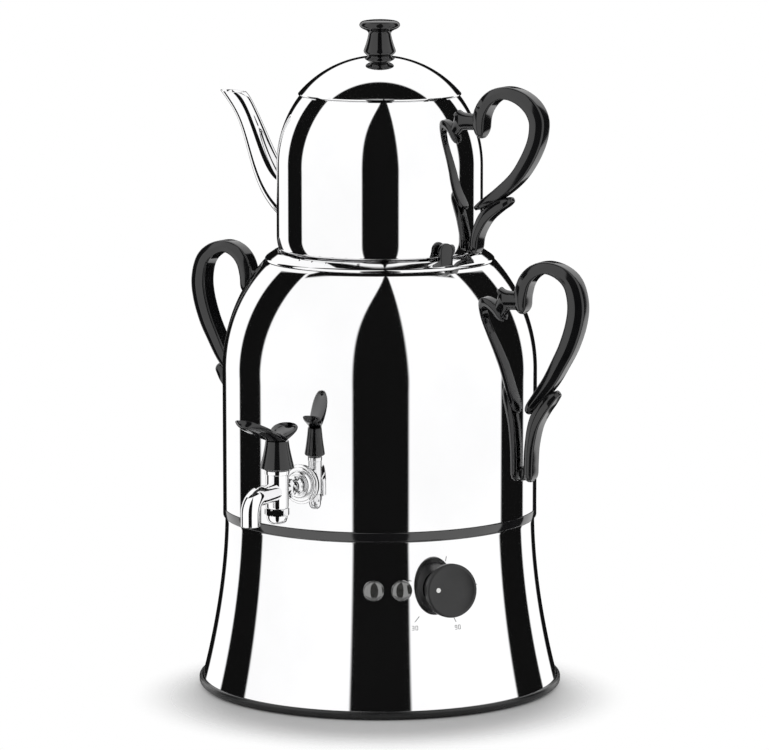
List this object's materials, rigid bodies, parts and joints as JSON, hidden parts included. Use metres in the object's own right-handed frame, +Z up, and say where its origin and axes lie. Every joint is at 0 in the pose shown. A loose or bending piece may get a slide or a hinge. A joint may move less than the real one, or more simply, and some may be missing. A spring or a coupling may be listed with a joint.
{
  "type": "samovar",
  "caption": "Electric samovar: domed steel tank on a flared base, tap with turning lever, scroll handles, thermostat knob, and a teapot standing on its ring lid.",
  "frame": {"origin": "on the floor at the vertical axis of the tank", "axes": "+Z up along the tank's axis, -Y towards the tap, +X towards the right handle as seen from the tap's side"},
  "size_m": [0.301, 0.2999, 0.447],
  "materials": {
    "mirror_steel": "polished",
    "plain_steel": "satin",
    "zinc_steel": "satin",
    "aluminium": "satin",
    "black_bakelite": "gloss",
    "black_plastic": "satin",
    "knob_plastic": "satin",
    "grey_plastic": "satin",
    "lens_plastic": "gloss",
    "lamp": "gloss",
    "rubber": "matte",
    "silicone": "matte",
    "brass": "satin",
    "ceramic": "satin"
  },
  "bodies": {
    "urn": {"tank_shell": "mirror_steel", "mouth_ring": "mirror_steel", "tank_bottom": "plain_steel", "tank_studs": "zinc_steel", "stud_nuts": "zinc_steel", "heater_plate": "aluminium", "heating_element": "plain_steel", "thermal_cutout": "ceramic", "trim_band": "grey_plastic", "base_skirt": "mirror_steel", "skirt_blocks": "zinc_steel", "base_ring": "black_plastic", "bottom_plate": "zinc_steel", "bottom_screws": "zinc_steel", "feet": "rubber", "right_handle": "black_bakelite", "left_handle": "black_bakelite", "handle_screws": "plain_steel", "handle_seals": "silicone", "tap_body": "mirror_steel", "tap_rosette": "mirror_steel", "tap_gasket": "silicone", "tap_nut": "plain_steel", "tap_cap": "mirror_steel", "thermostat_body": "ceramic", "thermostat_bracket": "zinc_steel", "indicator_lenses": "lens_plastic", "indicator_lamps": "lamp", "power_inlet": "black_plastic", "inlet_pins": "brass", "inlet_screws": "zinc_steel", "terminal_block": "ceramic"},
    "tap_key": {"tap_plug": "plain_steel", "tap_lever": "black_bakelite"},
    "thermostat_dial": {"thermostat_shaft": "plain_steel", "thermostat_knob": "knob_plastic"},
    "ring_lid": {"tank_lid": "mirror_steel", "tank_lid_knobs": "black_bakelite", "tank_lid_screws": "plain_steel"},
    "teapot": {"teapot_shell": "mirror_steel", "teapot_bottom": "mirror_steel", "teapot_spout": "mirror_steel", "teapot_handle": "black_bakelite", "teapot_handle_screws": "plain_steel", "teapot_handle_washers": "plain_steel"},
    "teapot_cover": {"teapot_lid": "mirror_steel", "lid_knob": "black_bakelite", "lid_knob_screw": "plain_steel"}
  },
  "joints": [
    {"name": "tap_turn", "type": "hinge", "parent": "urn", "child": "tap_key", "pos_m": [0, -0.1353, 0.151], "axis": [0, 0, 1], "range_deg": [0, 90]},
    {"name": "thermostat_turn", "type": "hinge", "parent": "urn", "child": "thermostat_dial", "pos_m": [0.08267, -0.06576, 0.0829], "axis": [0.7789, -0.6196, 0.097], "range_deg": [0, 270]},
    {"name": "ring_lid_lift", "type": "slide", "parent": "urn", "child": "ring_lid", "axis": [0, 0, 1], "range_m": [0, 0.06]},
    {"name": "teapot_lift", "type": "slide", "parent": "ring_lid", "child": "teapot", "axis": [0, 0, 1], "range_m": [0, 0.08]},
    {"name": "teapot_cover_lift", "type": "slide", "parent": "teapot", "child": "teapot_cover", "axis": [0, 0, 1], "range_m": [0, 0.06]}
  ]
}
